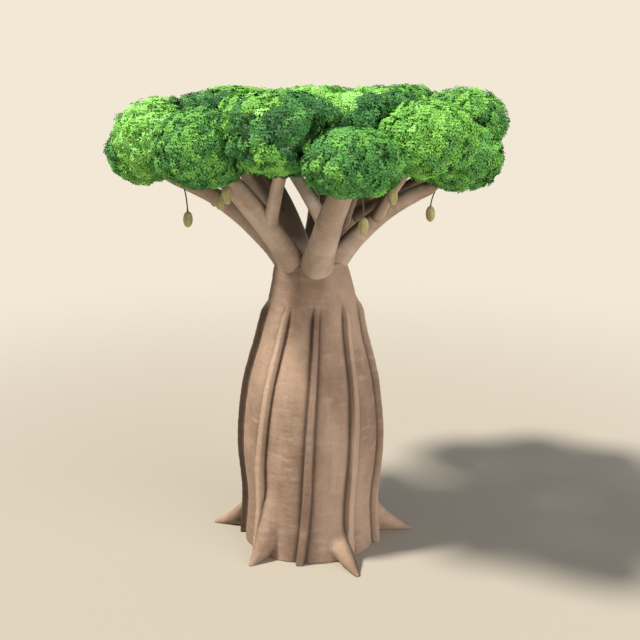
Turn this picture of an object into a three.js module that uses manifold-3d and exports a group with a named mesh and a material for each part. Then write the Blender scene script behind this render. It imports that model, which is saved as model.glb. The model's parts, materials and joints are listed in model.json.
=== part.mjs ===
// A baobab tree: a swollen, ribbed bottle trunk on a flare of roots, seven main boughs with side limbs,
// and a wide flat crown of sixteen dense foliage masses with pods hanging under it.
// Millimetres, +Z up. The origin is the centre of the flat cut at ground level; -Y is the front.
// Bearings are degrees anticlockwise from +X, seen from above.
import * as THREE from "three";
import { mergeVertices } from "three/addons/utils/BufferGeometryUtils.js";
import Module from "manifold-3d";

const wasm = await Module();
wasm.setup();

// ---- driving dimensions ----

const meetingGap = 0.3; // between two parts that meet
const cutterGrowth = 0.45; // how much fatter a cutter is than the part it stands for
const finestDetail = 0.05; // slivers smaller than this are closed up after joining

const trunk = {
  // Height, radius, and how far the axis leans towards +X. The body starts low and is cut flat at the ground.
  profile: [
    [-60, 1500, 0],
    [1000, 1425, 0],
    [2350, 1505, 0],
    [3600, 1385, 0],
    [4900, 1060, 20],
    [5700, 885, 45],
    [6300, 745, 10],
  ],
  sideRings: 13,
  headTop: 6430,
  headRings: 2,
  headFlatness: 0.6, // how much of the dome's crown is left out as a flat top, in rings
};
const ribs = {
  count: 9,
  firstBearing: -92, // at half their height
  twist: 15, // degrees gained from the ground to their upper ends
  halfWidth: 95,
  slimming: 0.4, // how much narrower they are at their upper ends
  crestShare: 0.45, // the crest's width as a share of the foot's
  swellBetween: 1.02,
  proud: 120,
  fadeFrom: 5250,
  fadeTo: 5650,
  wander: 1.6, // degrees each way
  longSway: { length: 1500, shift: 2.1, share: 1 },
  shortSway: { length: 610, shift: 1.3, share: 0.4 },
};
const roots = {
  flares: [ // bearing, height at which the flare leaves the trunk
    [0, 700],
    [54, 620],
    [112, 900],
    [171, 700],
    [-130, 1350],
    [-64, 560],
  ],
  startOut: 1080,
  bendOut: 1620,
  bendUp: 190,
  tipOut: 2130,
  tipSpread: 0.06, // how much nearer or farther the tips are than that
  tipSpreadStep: 2.3,
  startRadius: 340,
  tipRadius: 60,
  sides: 7,
  steps: 4,
};

// The foliage masses: the bearing, distance out and height of each centre, its half width and half height.
const masses = [
  { name: "left", bearing: 178, out: 3000, up: 8880, wide: 1210, tall: 980, tone: "bright" },
  { name: "far_left", bearing: 163, out: 3780, up: 8510, wide: 960, tall: 900, tone: "mid" },
  { name: "front_left", bearing: -134, out: 2780, up: 8840, wide: 1140, tall: 900, tone: "mid" },
  { name: "front", bearing: -101, out: 2500, up: 9130, wide: 1380, tall: 910, tone: "dark" },
  { name: "front_right", bearing: -77, out: 3150, up: 8700, wide: 1160, tall: 750, tone: "mid" },
  { name: "right_front", bearing: -42, out: 2880, up: 8980, wide: 1150, tall: 880, tone: "bright" },
  { name: "right", bearing: -10, out: 2970, up: 8550, wide: 1110, tall: 850, tone: "dark" },
  { name: "right_top", bearing: 10, out: 3230, up: 9150, wide: 1150, tall: 850, tone: "bright" },
  { name: "back_right", bearing: 43, out: 2880, up: 9050, wide: 1360, tall: 1000, tone: "mid" },
  { name: "back", bearing: 82, out: 2820, up: 8980, wide: 1400, tall: 1000, tone: "bright" },
  { name: "back_left", bearing: 125, out: 2920, up: 9000, wide: 1550, tall: 1000, tone: "bright" },
  { name: "inner_left", bearing: 172, out: 1850, up: 9190, wide: 1480, tall: 720, tone: "dark" },
  { name: "inner_front", bearing: -133, out: 1150, up: 9230, wide: 1330, tall: 770, tone: "bright" },
  { name: "inner_right", bearing: -56, out: 1420, up: 9230, wide: 1250, tall: 740, tone: "dark" },
  { name: "inner_far", bearing: 12, out: 1500, up: 9260, wide: 1400, tall: 740, tone: "mid" },
  { name: "inner_back", bearing: 92, out: 1130, up: 9270, wide: 1350, tall: 740, tone: "bright" },
];

// The limbs in the order in which they are cut: each leads to the mass of the same name.
// A main bough leaves the trunk's head; a side limb leaves its parent at the share "at" of its length.
// "under" moves the place where a limb enters its mass from the near side (0) to the underside (1).
const mainBough = { baseRadius: 270, tipRadius: 150, lift: 300, under: 0.2 };
const sideLimb = { baseRadius: 130, tipRadius: 95, lift: 60, under: 0.2 };
const limbs = [
  { ...mainBough, to: "front_right", baseRadius: 350, tipRadius: 215, lift: 200, under: 0 },
  { ...mainBough, to: "front_left", baseRadius: 275, tipRadius: 205, lift: 230, under: 0 },
  { ...mainBough, to: "left", baseRadius: 255, lift: 520, under: 0.42 },
  { ...mainBough, to: "right", baseRadius: 255, lift: 500, under: 0.12 },
  { ...mainBough, to: "back_right", baseRadius: 310, tipRadius: 200, lift: 250 },
  { ...mainBough, to: "back", baseRadius: 290, tipRadius: 170 },
  { ...mainBough, to: "back_left", baseRadius: 370, tipRadius: 260, lift: 600, under: 0 },
  { ...sideLimb, to: "far_left", parent: "left", at: 0.6 },
  { ...sideLimb, to: "front", parent: "front_left", at: 0.55, baseRadius: 140, tipRadius: 125, under: 0.3 },
  { ...sideLimb, to: "right_front", parent: "right", at: 0.6, lift: 100, under: 0 },
  {
    ...sideLimb,
    to: "right_top",
    parent: "back_right",
    at: 0.46,
    baseRadius: 180,
    tipRadius: 140,
    lift: -50,
    under: 0.75,
  },
  { ...sideLimb, to: "inner_left", parent: "back_left", at: 0.26, baseRadius: 210, tipRadius: 175, lift: 0 },
  { ...sideLimb, to: "inner_right", parent: "front_right", at: 0.44 },
  { ...sideLimb, to: "inner_far", parent: "back_right", at: 0.32 },
  { ...sideLimb, to: "inner_back", parent: "back", at: 0.42 },
  { ...sideLimb, to: "inner_front", parent: "front_right", at: 0.56, baseRadius: 140, tipRadius: 110 },
];
const limbShape = {
  startOut: 330, // where a main bough's axis starts, inside the head
  startUp: 6080,
  flankShare: 0.5, // how far a side limb starts from its parent's axis, as a share of the parent's radius
  bendShare: 0.44,
  tipShare: 0.96, // of the way from its mass's heart to the edge of the mass's space
  taper: 0.8,
  samples: 12,
  sides: 7,
  steps: 6,
};

// The foliage rule: how many directions each level of twigs has, and how far out each level ends,
// as shares of the way from a mass's heart to the edge of its space.
const growth = {
  firstSeed: 1000,
  seedStep: 37,
  massGap: 14,
  limbGap: 16,
  coreShare: 0.84, // of the way to the mass's own skin
  coreWallShare: 0.965, // of the way to a neighbour's space
  stemShare: 0.55,
  stemTaper: 0.55,
  branchlets: 5,
  branchletShare: 0.46,
  branchletRadii: [44, 30],
  twigs: 9,
  twigShare: 0.94,
  twigRadii: [26, 12],
  sprays: 30,
  sprayRootShare: 0.88, // of the way to the core's skin
  sprayTipShare: 0.985,
  sprayTilt: 0.55,
  sprayWidth: 0.56, // of its length
  sprayThickness: 0.07,
  sprayBelly: 0.58, // where along its length it is widest
  leastShowing: 60, // a twig or spray that stands out of the core by less is left out
};

// Pods hang on long stalks: the mass that carries each, where it hangs, and its middle's height.
const pods = [
  { on: "left", x: -2500, y: -340, up: 7265 },
  { on: "front_left", x: -1730, y: -1400, up: 7790 },
  { on: "front_left", x: -1560, y: -1790, up: 7960 },
  { on: "front_right", x: 985, y: -2040, up: 7420 },
  { on: "right_front", x: 1560, y: -1560, up: 7900 },
  { on: "right", x: 2495, y: -40, up: 7320 },
  { on: "back_right", x: 2050, y: 1750, up: 7560 },
  { on: "back", x: 380, y: 2450, up: 7350 },
  { on: "back", x: 1050, y: 2900, up: 7620 },
  { on: "back_left", x: -2150, y: 1500, up: 7400 },
];
const pod = {
  halfLength: 165,
  radius: 98,
  bluntness: 0.03,
  sides: 6,
  steps: 4,
  stalkRadius: 13,
  stalkSteps: 3,
  stalkSunk: 0.4, // of the pod's half length
  footingShare: 0.6, // how far the stalk's footing lies from its mass's heart towards the skin above the pod
};

const finishes = {
  trunk: new THREE.MeshStandardMaterial({ color: 0xa58a77, roughness: 0.85, metalness: 0 }),
  bough: new THREE.MeshStandardMaterial({ color: 0x9a806d, roughness: 0.85, metalness: 0 }),
  bright: new THREE.MeshStandardMaterial({ color: 0x7dbb52, roughness: 0.6, metalness: 0 }),
  mid: new THREE.MeshStandardMaterial({ color: 0x549043, roughness: 0.6, metalness: 0 }),
  dark: new THREE.MeshStandardMaterial({ color: 0x3f7036, roughness: 0.6, metalness: 0 }),
};

// ---- small tools ----

const upward = new THREE.Vector3(0, 0, 1);

function polar(bearing, out, up) {
  const angle = THREE.MathUtils.degToRad(bearing);
  return new THREE.Vector3(out * Math.cos(angle), out * Math.sin(angle), up);
}

// The same seed always gives the same run of numbers from 0 to 1.
function seeded(seed) {
  let state = seed;
  return () => {
    state = (state * 16807) % 2147483647;
    return state / 2147483647;
  };
}

// Directions spread evenly over a sphere along a spiral.
function evenDirections(count) {
  const goldenAngle = Math.PI * (3 - Math.sqrt(5));
  return Array.from({ length: count }, (_, i) => {
    const z = 1 - (2 * i + 1) / count;
    const flat = Math.sqrt(1 - z * z);
    return new THREE.Vector3(flat * Math.cos(i * goldenAngle), flat * Math.sin(i * goldenAngle), z);
  });
}

function geometryFrom(points, triangles) {
  const positions = new Float32Array(points.flatMap((p) => [p.x, p.y, p.z]));
  const geometry = new THREE.BufferGeometry();
  geometry.setAttribute("position", new THREE.BufferAttribute(positions, 3));
  geometry.setIndex(triangles);
  return geometry;
}

function solidFrom(geometry) {
  const bare = geometry.clone();
  bare.deleteAttribute("normal");
  bare.deleteAttribute("uv");
  const merged = mergeVertices(bare, 1e-3);
  return new wasm.Manifold(new wasm.Mesh({
    numProp: 3,
    vertProperties: new Float32Array(merged.attributes.position.array),
    triVerts: new Uint32Array(merged.index.array),
  }));
}

function meshFrom(solid, name, material) {
  const { vertProperties, triVerts } = solid.simplify(finestDetail).getMesh();
  const geometry = new THREE.BufferGeometry();
  geometry.setAttribute("position", new THREE.BufferAttribute(new Float32Array(vertProperties), 3));
  geometry.setIndex(new THREE.BufferAttribute(new Uint32Array(triVerts), 1));
  const mesh = new THREE.Mesh(geometry.toNonIndexed(), material);
  mesh.geometry.computeVertexNormals();
  mesh.name = name;
  return mesh;
}

// A cut can leave loose scraps beside the main piece: only the main piece is kept.
function largestPiece(solid) {
  return solid.decompose().reduce((best, piece) => (piece.volume() > best.volume() ? piece : best));
}

// Joins stacked rings of points into a closed skin, with a flat fan at each end.
function ringSkin(rings) {
  const sides = rings[0].length;
  const triangles = [];
  for (let i = 0; i + 1 < rings.length; i++) {
    for (let j = 0; j < sides; j++) {
      const [a, b] = [i * sides + j, i * sides + ((j + 1) % sides)];
      triangles.push(a, b, b + sides, a, b + sides, a + sides);
    }
  }
  const last = (rings.length - 1) * sides;
  for (let j = 1; j + 1 < sides; j++) {
    triangles.push(0, j + 1, j, last, last + j, last + j + 1);
  }
  return geometryFrom(rings.flat(), triangles);
}

// A tapering round limb along a curve.
function limbGeometry(curve, radiusAt, sides, steps) {
  const frames = curve.computeFrenetFrames(steps, false);
  const rings = [];
  for (let i = 0; i <= steps; i++) {
    const centre = curve.getPointAt(i / steps);
    const radius = radiusAt(i / steps);
    rings.push(Array.from({ length: sides }, (_, j) => {
      const angle = (2 * Math.PI * j) / sides;
      return centre.clone()
        .addScaledVector(frames.normals[i], radius * Math.cos(angle))
        .addScaledVector(frames.binormals[i], radius * Math.sin(angle));
    }));
  }
  return ringSkin(rings);
}

// ---- trunk ----

const trunkCurve = new THREE.CatmullRomCurve3(trunk.profile.map((row) => new THREE.Vector3(...row)));

// The body's radius and lean at a height, without ribs.
function bodyAt(up) {
  let [low, high] = [0, 1];
  for (let halving = 0; halving < 24; halving++) {
    const middle = (low + high) / 2;
    if (trunkCurve.getPoint(middle).x < up) {
      low = middle;
    } else {
      high = middle;
    }
  }
  const { y: radius, z: lean } = trunkCurve.getPoint(low);
  return { radius, lean };
}

// The bearing of a rib at a height: the ribs twist and sway a little as they rise.
function ribBearing(k, up) {
  const sway = ({ length, shift, share }) => share * Math.sin(up / length + shift * k);
  const bend = ribs.wander * (sway(ribs.longSway) + sway(ribs.shortSway));
  return ribs.firstBearing + (360 / ribs.count) * k + ribs.twist * (up / ribs.fadeTo - 0.5) + bend;
}

// One ring of the trunk: each rib has two foot columns and two crest columns, with one more between ribs.
function trunkRing(up, growthBy) {
  const { radius: bare, lean } = bodyAt(up);
  const radius = bare + growthBy;
  const proud = ribs.proud * (1 - THREE.MathUtils.smoothstep(up, ribs.fadeFrom, ribs.fadeTo));
  const halfWidth = ribs.halfWidth * (1 - ribs.slimming * (up / ribs.fadeTo) ** 2);
  const foot = THREE.MathUtils.radToDeg(halfWidth / radius);
  const ring = [];
  for (let k = 0; k < ribs.count; k++) {
    const bearing = ribBearing(k, up);
    const next = k + 1 < ribs.count ? ribBearing(k + 1, up) : ribBearing(0, up) + 360;
    ring.push(polar(bearing - foot, radius, up));
    ring.push(polar(bearing - foot * ribs.crestShare, radius + proud, up));
    ring.push(polar(bearing + foot * ribs.crestShare, radius + proud, up));
    ring.push(polar(bearing + foot, radius, up));
    ring.push(polar((bearing + next) / 2, radius * ribs.swellBetween, up));
  }
  return ring.map((point) => point.setX(point.x + lean));
}

// The bottle-shaped body with its ribs, closed by a low dome inside the fork.
function trunkBody(growthBy) {
  const [bottom, top] = [trunk.profile.at(0)[0], trunk.profile.at(-1)[0]];
  const rings = [];
  for (let i = 0; i <= trunk.sideRings; i++) {
    rings.push(trunkRing(THREE.MathUtils.lerp(bottom, top, i / trunk.sideRings), growthBy));
  }
  const dome = trunk.headTop - top;
  for (let i = 1; i <= trunk.headRings; i++) {
    const angle = (Math.PI / 2) * (i / (trunk.headRings + trunk.headFlatness));
    const shrink = Math.cos(angle);
    const rise = dome * Math.sin(angle) + growthBy;
    const ring = rings[trunk.sideRings].map((p) => new THREE.Vector3(p.x * shrink, p.y * shrink, top + rise));
    rings.push(ring);
  }
  return solidFrom(ringSkin(rings));
}

// A root flare: it leaves the trunk, bends outwards and runs down to the ground.
function rootSolid([bearing, startUp], index) {
  const tipOut = roots.tipOut * (1 + roots.tipSpread * Math.cos(roots.tipSpreadStep * index));
  const curve = new THREE.QuadraticBezierCurve3(
    polar(bearing, roots.startOut, startUp),
    polar(bearing, roots.bendOut, roots.bendUp),
    polar(bearing, tipOut, 0),
  );
  const taper = (t) => THREE.MathUtils.lerp(roots.startRadius, roots.tipRadius, t);
  return solidFrom(limbGeometry(curve, taper, roots.sides, roots.steps));
}

// The whole trunk, cut flat at the ground. A grown one cuts the limbs clear of it.
function trunkSolid(growthBy = 0) {
  const parts = [trunkBody(growthBy), ...roots.flares.map(rootSolid)];
  return wasm.Manifold.union(parts).trimByPlane([0, 0, 1], 0);
}

// ---- spaces of the foliage masses ----

// The distance from a mass's heart to the skin of its ellipsoid.
function ellipsoidReach(mass, direction) {
  const flat = Math.hypot(direction.x, direction.y) / mass.wide;
  return 1 / Math.hypot(flat, direction.z / mass.tall);
}

for (const mass of masses) {
  mass.heart = polar(mass.bearing, mass.out, mass.up);
}

// Where two ellipsoids would meet, a plane between them keeps each to its own side.
for (const mass of masses) {
  mass.walls = [];
  for (const other of masses.filter((m) => m !== mass)) {
    const apart = other.heart.clone().sub(mass.heart);
    const distance = apart.length();
    const normal = apart.normalize();
    const [own, theirs] = [ellipsoidReach(mass, normal), ellipsoidReach(other, normal)];
    if (own + theirs > distance) {
      mass.walls.push({ normal, distance: (distance * own) / (own + theirs) - growth.massGap });
    }
  }
}

// The distance to the nearest of those planes.
function wallReach(mass, direction) {
  const facing = mass.walls.filter((wall) => wall.normal.dot(direction) > 1e-6);
  return Math.min(...facing.map((wall) => wall.distance / wall.normal.dot(direction)));
}

// The distance from a mass's heart to the edge of its space.
function reachOf(mass, direction) {
  return Math.min(ellipsoidReach(mass, direction), wallReach(mass, direction));
}

// The distance from a mass's heart to the skin of its dense core.
function coreReach(mass, direction) {
  const open = growth.coreShare * ellipsoidReach(mass, direction);
  return Math.min(open, growth.coreWallShare * wallReach(mass, direction));
}

function pointIn(mass, direction, share) {
  return mass.heart.clone().addScaledVector(direction, share * reachOf(mass, direction));
}

function isInside(mass, point) {
  const offset = point.clone().sub(mass.heart);
  const distance = offset.length();
  return distance < reachOf(mass, offset.normalize());
}

// ---- boughs and side limbs ----

const massNamed = Object.fromEntries(masses.map((mass) => [mass.name, mass]));
const limbNamed = Object.fromEntries(limbs.map((limb) => [limb.to, limb]));

for (const limb of limbs) {
  const mass = massNamed[limb.to];
  const headStart = polar(mass.bearing, limbShape.startOut, limbShape.startUp);
  const start = limb.parent ? flankStart(limb, mass) : headStart;
  const inward = start.clone().sub(mass.heart).normalize();
  const entry = inward.lerp(upward.clone().negate(), limb.under).normalize();
  const tip = pointIn(mass, entry, limbShape.tipShare);
  const bend = start.clone().lerp(tip, limbShape.bendShare).addScaledVector(upward, limb.lift);
  limb.curve = new THREE.QuadraticBezierCurve3(start, bend, tip);
  limb.node = (limb.parent ? "limb_" : "bough_") + limb.to;
  limb.radiusAt = (t) => THREE.MathUtils.lerp(limb.baseRadius, limb.tipRadius, t ** limbShape.taper);
  limb.samples = Array.from({ length: limbShape.samples + 1 }, (_, i) => ({
    centre: limb.curve.getPointAt(i / limbShape.samples),
    radius: limb.radiusAt(i / limbShape.samples),
  }));
  mass.limb = limb;
}

// A side limb starts inside its parent, off the axis towards the mass it leads to.
function flankStart(limb, mass) {
  const parent = limbNamed[limb.parent];
  const start = parent.curve.getPointAt(limb.at);
  const heading = parent.curve.getTangentAt(limb.at);
  const sideways = mass.heart.clone().sub(start).projectOnPlane(heading).normalize();
  return start.addScaledVector(sideways, limbShape.flankShare * parent.radiusAt(limb.at));
}

// A limb before it is cut, or a fatter one to cut others with.
function rawLimb(limb, growthBy) {
  const radiusAt = (t) => limb.radiusAt(t) + growthBy;
  return solidFrom(limbGeometry(limb.curve, radiusAt, limbShape.sides, limbShape.steps));
}

// Each limb is cut back to the trunk and to every limb before it.
function limbSolids() {
  const cutters = [trunkSolid(cutterGrowth)];
  const solids = {};
  for (const limb of limbs) {
    const cut = cutters.reduce((left, cutter) => left.subtract(cutter), rawLimb(limb, 0));
    solids[limb.node] = largestPiece(cut);
    cutters.push(rawLimb(limb, cutterGrowth));
  }
  return solids;
}

function touchesLimb(point, margin) {
  return limbs.some((limb) => limb.samples.some(({ centre, radius }, i) => {
    const next = limb.samples[i + 1];
    if (!next) {
      return false;
    }
    const span = new THREE.Line3(centre, next.centre);
    const nearest = span.closestPointToPoint(point, true, new THREE.Vector3());
    return nearest.distanceTo(point) < radius + margin;
  }));
}

// ---- foliage ----

function nearestTo(point, candidates) {
  return candidates.reduce((best, each) => (each.distanceTo(point) < best.distanceTo(point) ? each : best));
}

function straightTwig(from, to, baseRadius, tipRadius) {
  const taper = (t) => THREE.MathUtils.lerp(baseRadius, tipRadius, t);
  return solidFrom(limbGeometry(new THREE.LineCurve3(from, to), taper, 3, 1));
}

// A spray of leaves: a thin eight-sided blade from its root to its tip, lying across "facing".
function spraySolid(root, tip, facing) {
  const along = tip.clone().sub(root);
  const length = along.length();
  const across = along.clone().cross(facing).normalize();
  const out = along.clone().cross(across).normalize();
  const belly = root.clone().lerp(tip, growth.sprayBelly);
  const half = (length * growth.sprayWidth) / 2;
  const thick = (length * growth.sprayThickness) / 2;
  const points = [
    root,
    belly.clone().addScaledVector(across, half),
    belly.clone().addScaledVector(out, thick),
    belly.clone().addScaledVector(across, -half),
    belly.clone().addScaledVector(out, -thick),
    tip,
  ];
  const triangles = [];
  for (let j = 0; j < 4; j++) {
    const [a, b] = [1 + j, 1 + ((j + 1) % 4)];
    triangles.push(0, b, a, 5, a, b);
  }
  return { points, geometry: geometryFrom(points, triangles) };
}

// The dense heart of a mass, which the twigs and sprays stand out of.
function coreSolid(mass) {
  const ball = new THREE.IcosahedronGeometry(1, 1);
  ball.deleteAttribute("normal");
  ball.deleteAttribute("uv");
  const core = mergeVertices(ball, 1e-4);
  const position = core.attributes.position;
  for (let i = 0; i < position.count; i++) {
    const direction = new THREE.Vector3().fromBufferAttribute(position, i).normalize();
    const point = mass.heart.clone().addScaledVector(direction, coreReach(mass, direction));
    position.setXYZ(i, point.x, point.y, point.z);
  }
  return solidFrom(core);
}

// The stem that carries a mass: it starts where the mass's limb ends and stops inside the core.
function stemSolid(mass) {
  const { curve, tipRadius } = mass.limb;
  const heading = curve.getTangentAt(1);
  const start = curve.getPointAt(1).addScaledVector(heading, meetingGap);
  const end = mass.heart.clone().lerp(start, 1 - growth.stemShare);
  const bend = start.clone().addScaledVector(heading, start.distanceTo(end) / 2);
  const path = new THREE.QuadraticBezierCurve3(start, bend, end);
  const taper = (t) => THREE.MathUtils.lerp(tipRadius, tipRadius * growth.stemTaper, t);
  const stem = solidFrom(limbGeometry(path, taper, 6, 2));
  return { end, solid: stem.subtract(rawLimb(mass.limb, cutterGrowth)) };
}

// A pod on a long stalk, whose footing is sunk in the mass's core.
function podSolid({ on, x, y, up }) {
  const mass = massNamed[on];
  const [foot, top] = [up - pod.halfLength, up + pod.halfLength].map((z) => new THREE.Vector3(x, y, z));
  const swell = (t) => pod.radius * Math.sqrt(Math.max(1 - (2 * t - 1) ** 2, pod.bluntness));
  const fruit = solidFrom(limbGeometry(new THREE.LineCurve3(foot, top), swell, pod.sides, pod.steps));

  const knee = new THREE.Vector3(x, y, mass.up - mass.tall);
  const footing = mass.heart.clone().lerp(knee, pod.footingShare);
  const sunkEnd = top.clone().addScaledVector(upward, -pod.stalkSunk * pod.halfLength);
  const path = new THREE.QuadraticBezierCurve3(footing, knee, sunkEnd);
  return fruit.add(solidFrom(limbGeometry(path, () => pod.stalkRadius, 3, pod.stalkSteps)));
}

// One foliage mass: stem, core, branching twigs, sprays of leaves and pods, fused into one solid.
function foliageSolid(mass, index) {
  const random = seeded(growth.firstSeed + growth.seedStep * index);
  const stem = stemSolid(mass);
  const core = limbs.reduce((left, limb) => left.subtract(rawLimb(limb, growth.limbGap)), coreSolid(mass));
  const parts = [stem.solid, core];

  const branchletDirections = evenDirections(growth.branchlets);
  const branchletTips = branchletDirections.map((d) => pointIn(mass, d, growth.branchletShare));
  parts.push(...branchletTips.map((tip) => straightTwig(stem.end, tip, ...growth.branchletRadii)));

  const isClear = (points) => points.every((p) => isInside(mass, p) && !touchesLimb(p, growth.limbGap));
  const showsAt = (d, share) => share * reachOf(mass, d) > coreReach(mass, d) + growth.leastShowing;

  for (const direction of evenDirections(growth.twigs)) {
    const tip = pointIn(mass, direction, growth.twigShare);
    if (showsAt(direction, growth.twigShare) && isClear([tip])) {
      parts.push(straightTwig(nearestTo(tip, branchletTips), tip, ...growth.twigRadii));
    }
  }

  for (const direction of evenDirections(growth.sprays)) {
    const sunk = growth.sprayRootShare * coreReach(mass, direction);
    const root = mass.heart.clone().addScaledVector(direction, sunk);
    const sideways = new THREE.Vector3(random() - 0.5, random() - 0.5, random() - 0.5).normalize();
    const leaning = direction.clone().addScaledVector(sideways, growth.sprayTilt).normalize();
    const spray = spraySolid(root, pointIn(mass, leaning, growth.sprayTipShare), direction);
    if (showsAt(leaning, growth.sprayTipShare) && isClear(spray.points)) {
      parts.push(solidFrom(spray.geometry));
    }
  }

  parts.push(...pods.filter((each) => each.on === mass.name).map(podSolid));
  return largestPiece(wasm.Manifold.union(parts));
}

// ---- the tree ----

const tree = new THREE.Group();
tree.add(meshFrom(trunkSolid(), "trunk", finishes.trunk));
for (const [node, solid] of Object.entries(limbSolids())) {
  tree.add(meshFrom(solid, node, finishes.bough));
}
masses.forEach((mass, index) => {
  tree.add(meshFrom(foliageSolid(mass, index), "foliage_" + mass.name, finishes[mass.tone]));
});

export default tree;
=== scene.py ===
import json
import math
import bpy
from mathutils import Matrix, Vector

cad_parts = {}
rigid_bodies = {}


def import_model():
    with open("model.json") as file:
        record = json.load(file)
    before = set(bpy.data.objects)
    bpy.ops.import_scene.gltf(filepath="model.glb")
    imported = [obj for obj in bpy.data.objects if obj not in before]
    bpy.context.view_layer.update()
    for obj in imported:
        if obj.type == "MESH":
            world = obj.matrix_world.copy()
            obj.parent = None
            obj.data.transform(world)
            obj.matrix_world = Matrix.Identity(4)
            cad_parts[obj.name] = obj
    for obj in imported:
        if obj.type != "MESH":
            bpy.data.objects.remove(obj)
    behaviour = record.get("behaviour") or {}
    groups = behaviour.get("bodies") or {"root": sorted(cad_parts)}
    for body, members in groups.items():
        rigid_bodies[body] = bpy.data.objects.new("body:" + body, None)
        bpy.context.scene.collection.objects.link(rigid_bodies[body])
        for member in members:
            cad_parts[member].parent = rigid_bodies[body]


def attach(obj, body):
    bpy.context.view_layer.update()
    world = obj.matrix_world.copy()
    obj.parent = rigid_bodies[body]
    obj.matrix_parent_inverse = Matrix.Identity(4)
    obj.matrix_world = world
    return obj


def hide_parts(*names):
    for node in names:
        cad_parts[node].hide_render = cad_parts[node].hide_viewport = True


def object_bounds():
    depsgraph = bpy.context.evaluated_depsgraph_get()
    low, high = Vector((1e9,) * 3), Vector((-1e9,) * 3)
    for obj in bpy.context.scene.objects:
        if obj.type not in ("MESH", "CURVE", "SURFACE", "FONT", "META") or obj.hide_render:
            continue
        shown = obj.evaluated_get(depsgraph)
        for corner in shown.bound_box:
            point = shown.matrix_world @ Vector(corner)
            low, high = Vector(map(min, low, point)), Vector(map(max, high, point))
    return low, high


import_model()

from types import SimpleNamespace as Settings

import bpy
import numpy as np
from mathutils import Vector

cadLow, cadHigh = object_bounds()
treeHeight = cadHigh.z
up = np.array([0.0, 0.0, 1.0])
tiny = 1e-6


# ---- small tools ----


def polar(bearing, out, height):  # bearing in degrees, anticlockwise from +X seen from above
    angle = math.radians(bearing)
    return np.array([out * math.cos(angle), out * math.sin(angle), height])


def unit(vectors):
    return vectors / np.linalg.norm(vectors, axis=-1, keepdims=True)


def mix(low, high, share):
    return low + (high - low) * share


def smoothStep(low, high, value):
    share = np.clip((value - low) / (high - low), 0, 1)
    return share * share * (3 - 2 * share)


def linear(colour):  # "c6a68a" to linear red, green, blue, alpha
    channels = [int(colour[i : i + 2], 16) / 255 for i in (0, 2, 4)]
    return [c / 12.92 if c <= 0.04045 else ((c + 0.055) / 1.055) ** 2.4 for c in channels] + [1.0]


def evenDirections(count):  # spread over a sphere along a spiral
    steps = np.arange(count)
    height = 1 - (2 * steps + 1) / count
    flat = np.sqrt(1 - height**2)
    turn = steps * math.pi * (3 - math.sqrt(5))
    return np.column_stack([flat * np.cos(turn), flat * np.sin(turn), height])


def bezier(start, bend, end, shares):
    t = np.asarray(shares)[:, None]
    return (1 - t) ** 2 * start + 2 * t * (1 - t) * bend + t**2 * end


def resampled(line, shares, at):  # a line's points at other shares of it
    return np.column_stack([np.interp(at, shares, line[:, i]) for i in range(3)])


def inScene(name, data):
    made = bpy.data.objects.new(name, data)
    bpy.context.scene.collection.objects.link(made)
    return made


def setAside(obj):  # out of the scene, for instances only
    bpy.context.scene.collection.objects.unlink(obj)
    return obj


def meshObject(name, points, faces=(), edges=()):
    mesh = bpy.data.meshes.new(name)
    mesh.from_pydata([tuple(p) for p in points], [tuple(e) for e in edges], [tuple(f) for f in faces])
    mesh.update()
    return inScene(name, mesh)


def setAttribute(obj, name, values):  # a vector, a whole number or a number for each point
    values = np.asarray(values)
    kind = "FLOAT_VECTOR" if values.ndim > 1 else "INT" if values.dtype.kind == "i" else "FLOAT"
    attribute = obj.data.attributes.new(name, kind, "POINT")
    attribute.data.foreach_set("vector" if values.ndim > 1 else "value", values.ravel())


def pointsOf(obj):
    found = np.empty((len(obj.data.vertices), 3))
    obj.data.vertices.foreach_get("co", found.ravel())
    return found


def shadeSmooth(obj):
    obj.data.polygons.foreach_set("use_smooth", [True] * len(obj.data.polygons))


def ringFaces(rings, sides):  # quads between stacked rings, with a fan to one more point at each end
    foot, head = rings * sides, rings * sides + 1
    turn = [(j, (j + 1) % sides) for j in range(sides)]
    walls = [
        (i * sides + a, i * sides + b, (i + 1) * sides + b, (i + 1) * sides + a)
        for i in range(rings - 1)
        for a, b in turn
    ]
    last = (rings - 1) * sides
    caps = [(foot, b, a) for a, b in turn] + [(head, last + a, last + b) for a, b in turn]
    return walls + caps


# ---- node trees ----


class Wire:
    # an output socket: sums on it add Math nodes
    def __init__(self, tree, socket):
        self.tree, self.socket = tree, socket

    def __add__(self, other):
        return self.tree.sum("ADD", self, other)

    def __sub__(self, other):
        return self.tree.sum("SUBTRACT", self, other)

    def __rsub__(self, other):
        return self.tree.sum("SUBTRACT", other, self)

    def __mul__(self, other):
        return self.tree.sum("MULTIPLY", self, other)


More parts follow.
